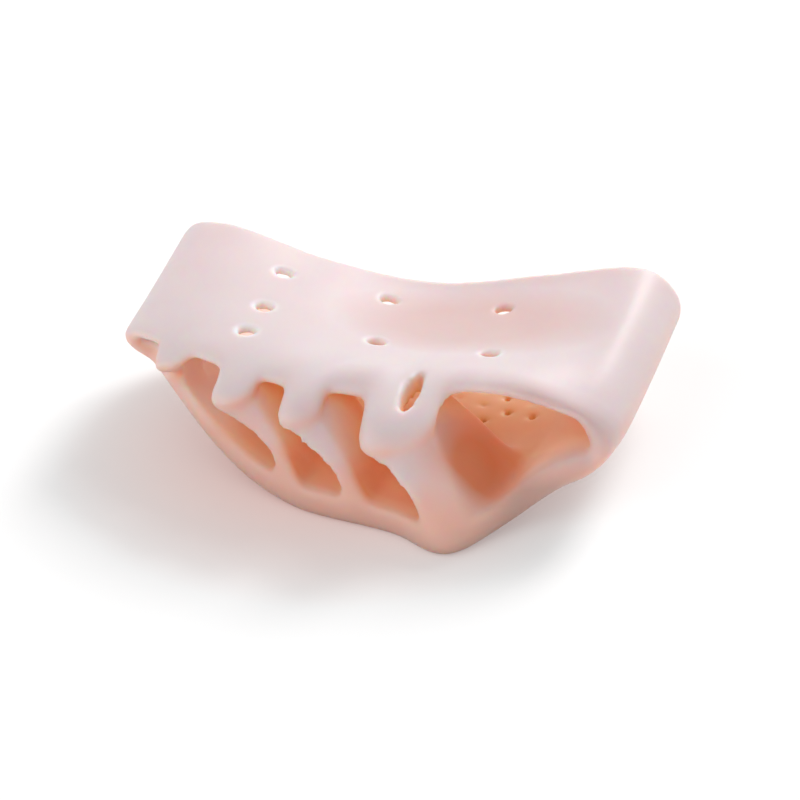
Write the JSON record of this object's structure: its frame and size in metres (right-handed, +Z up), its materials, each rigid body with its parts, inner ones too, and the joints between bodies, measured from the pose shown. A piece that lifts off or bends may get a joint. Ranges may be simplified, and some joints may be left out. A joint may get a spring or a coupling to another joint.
{
  "type": "toe separator",
  "caption": "Soft translucent silicone sleeve for the front of a right foot: padded sole, thin vented top sheet and upright septa that part the toes",
  "frame": {"origin": "on the flat underside of the sole pad, where the pad rests on the floor, near the middle of the foot's width", "axes": "+X runs across the foot towards the big toe, +Y from the toes towards the heel, +Z up through the top sheet"},
  "size_m": [0.0918, 0.0686, 0.0244],
  "materials": {
    "silicone": "soft satin translucent moulded silicone, pale pink outside and warmer inside"
  },
  "bodies": {
    "root": {"toe_separator": "silicone"}
  },
  "joints": []
}
